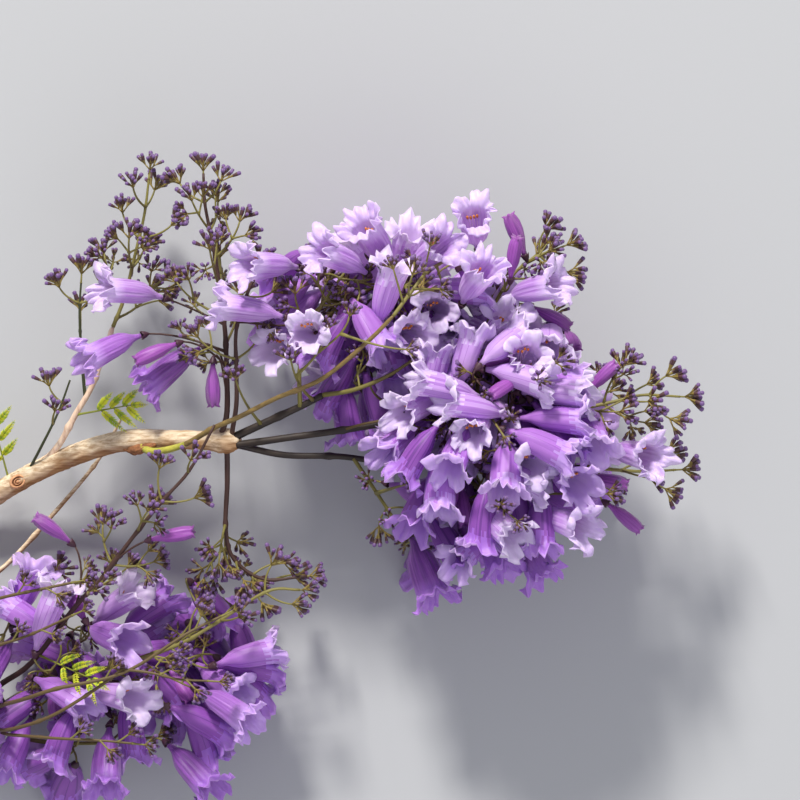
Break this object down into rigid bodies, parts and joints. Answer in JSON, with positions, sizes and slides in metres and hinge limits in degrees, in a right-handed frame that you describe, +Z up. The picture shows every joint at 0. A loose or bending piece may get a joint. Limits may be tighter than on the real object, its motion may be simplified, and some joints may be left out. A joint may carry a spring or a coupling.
{
  "type": "cut flowering jacaranda branch",
  "caption": "Cut woody branch in bloom, lying flat: thin stems carry loose panicles of tubular violet flowers with five lobes, small bud clusters and a few young ferny leaves.",
  "frame": {"origin": "centre of the branch's outline seen from above, on the flat surface that it lies on", "axes": "+Z up from that surface; +X along the branch from its cut end towards its flowering end; +Y the way that was up while the branch grew"},
  "size_m": [0.4887, 0.3978, 0.1586],
  "materials": {
    "bark": "rough, weathered bark",
    "green_stem": "smooth young bark",
    "panicle": "soft, matt",
    "petal": "soft, slightly silky",
    "young_leaf": "soft, matt"
  },
  "bodies": {
    "root": {"bough": "bark", "lower_limb": "bark", "bare_twig": "bark", "left_shoot": "green_stem", "stub_stem": "green_stem", "middle_stem": "green_stem", "lower_stem": "green_stem", "front_stem": "green_stem", "left_panicle": "panicle", "left_sprig": "panicle", "low_sprig": "panicle", "upright_panicle": "panicle", "second_upright": "panicle", "ridge_panicle": "panicle", "top_panicle": "panicle", "high_panicle": "panicle", "front_panicle": "panicle", "middle_panicle": "panicle", "right_panicle": "panicle", "low_right_panicle": "panicle", "drooping_panicle": "panicle", "low_front_panicle": "panicle", "back_right_panicle": "panicle", "hanging_panicle": "panicle", "rising_panicle": "panicle", "level_panicle": "panicle", "floor_panicle": "panicle", "inner_panicle": "panicle", "bloom_left_high": "petal", "bloom_left_low": "petal", "bloom_left_droop": "petal", "bloom_hanging": "petal", "bloom_upright": "petal", "bloom_ridge_left": "petal", "bloom_ridge_middle": "petal", "bloom_ridge_right": "petal", "bloom_top_left": "petal", "bloom_top": "petal", "bloom_top_front": "petal", "bloom_shut_high": "petal", "bloom_high": "petal", "bloom_shut_right": "petal", "bloom_right": "petal", "bloom_shut_low": "petal", "bloom_low_left": "petal", "bloom_low_middle": "petal", "bloom_low_right": "petal", "bloom_side": "petal", "bloom_shut_left": "petal", "bloom_lower_side": "petal", "bloom_lower_left": "petal", "bloom_lower_front": "petal", "leaf_outer": "young_leaf", "leaf_shoot": "young_leaf", "leaf_lower": "young_leaf"}
  },
  "joints": []
}
